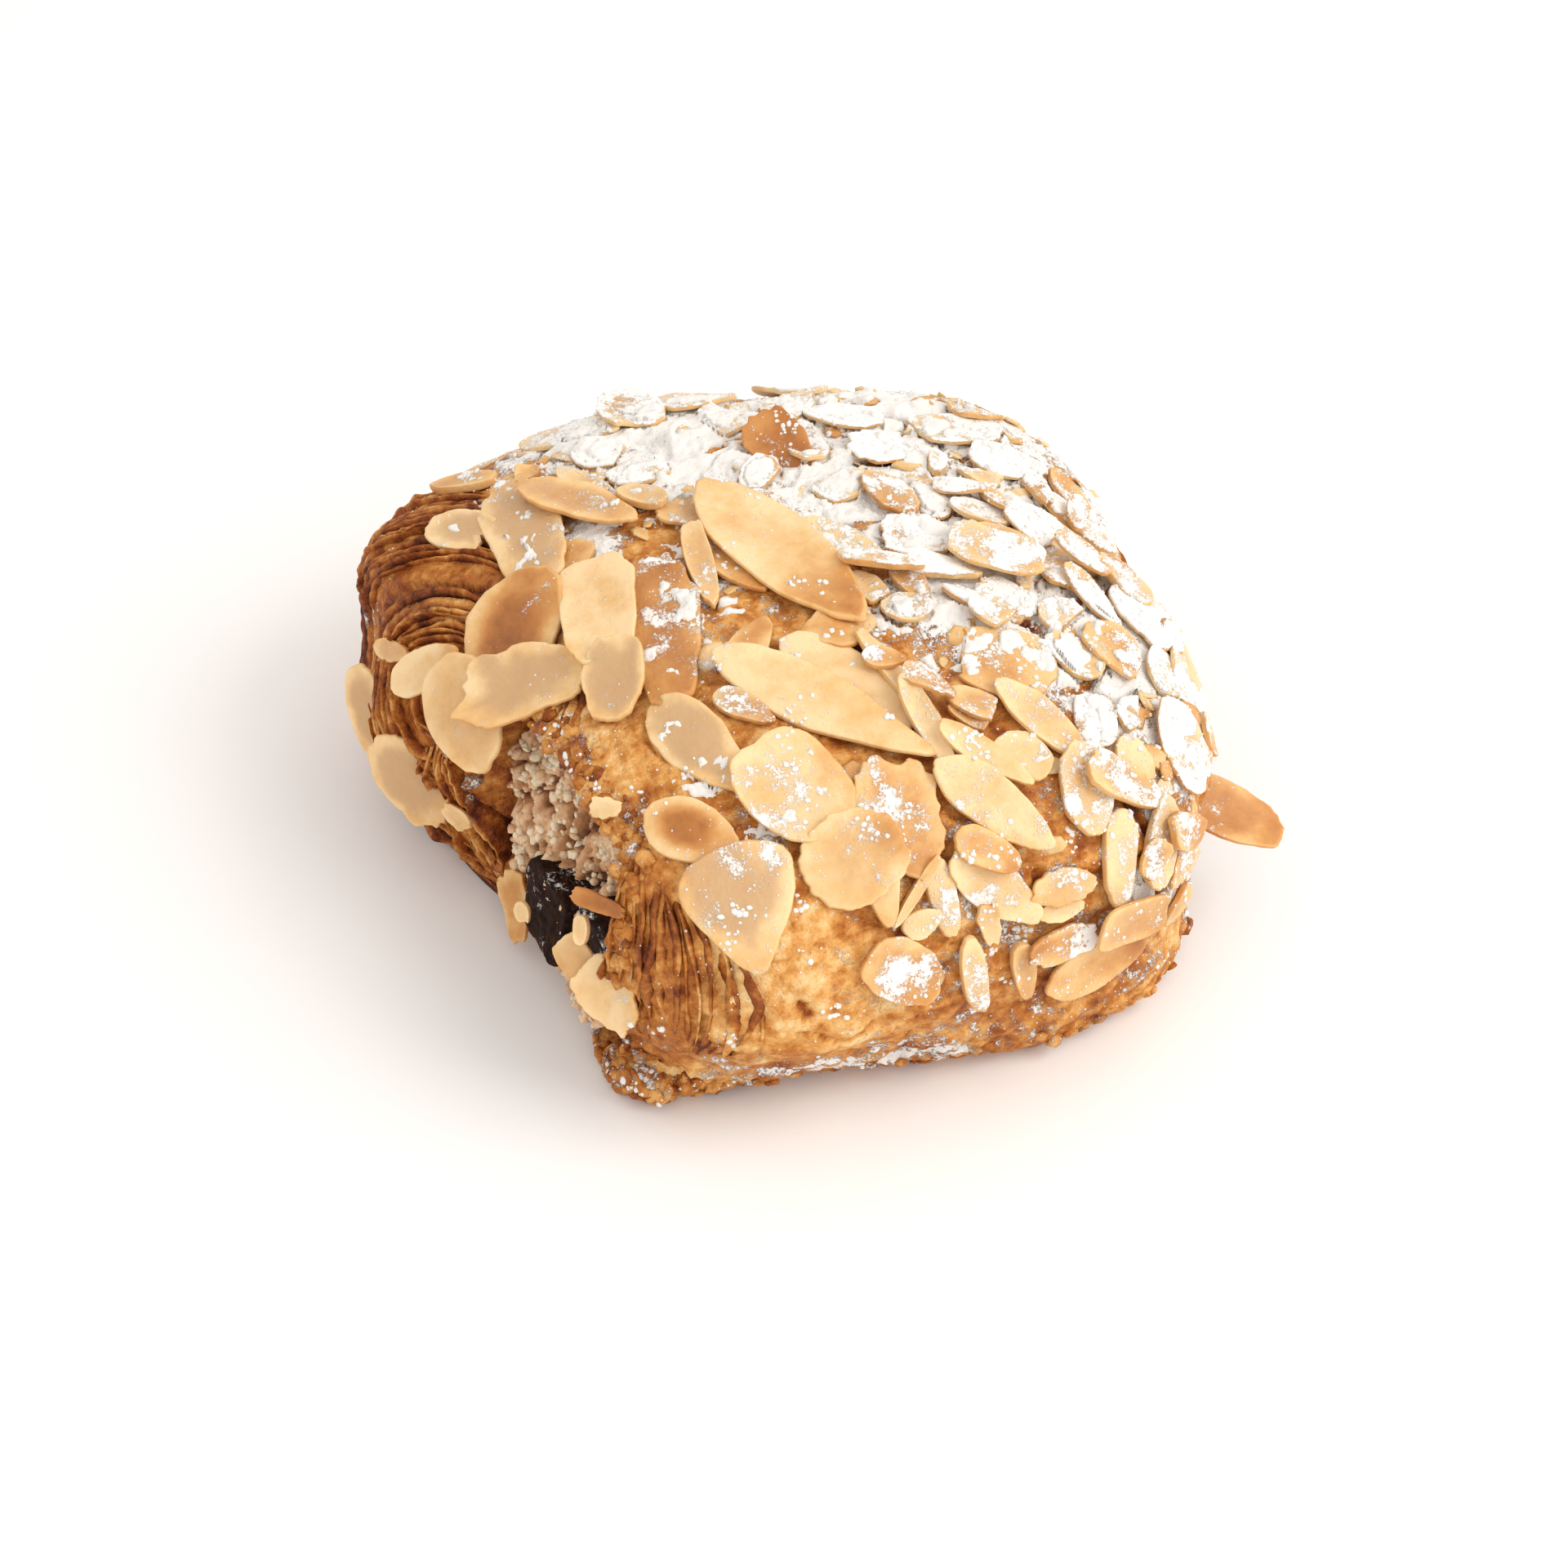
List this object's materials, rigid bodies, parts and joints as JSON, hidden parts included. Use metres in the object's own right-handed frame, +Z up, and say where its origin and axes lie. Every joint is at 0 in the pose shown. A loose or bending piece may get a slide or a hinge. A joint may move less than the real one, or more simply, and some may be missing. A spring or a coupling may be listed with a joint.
{
  "type": "almond pain au chocolat",
  "caption": "Baked chocolate pastry roll topped with flaked almonds and sugar, open at the end to show almond filling and chocolate.",
  "frame": {"origin": "centre of the bounding box in plan, on the table it rests on", "axes": "+X along the roll, from the open end at -X to the far end; +Y towards the longer back side; +Z up"},
  "size_m": [0.105, 0.1104, 0.0495],
  "materials": {
    "pastry": null,
    "almond_filling": null,
    "chocolate": null
  },
  "bodies": {
    "root": {"pastry": "pastry", "almond_filling": "almond_filling", "chocolate_baton_1": "chocolate", "chocolate_baton_2": "chocolate"}
  },
  "joints": []
}
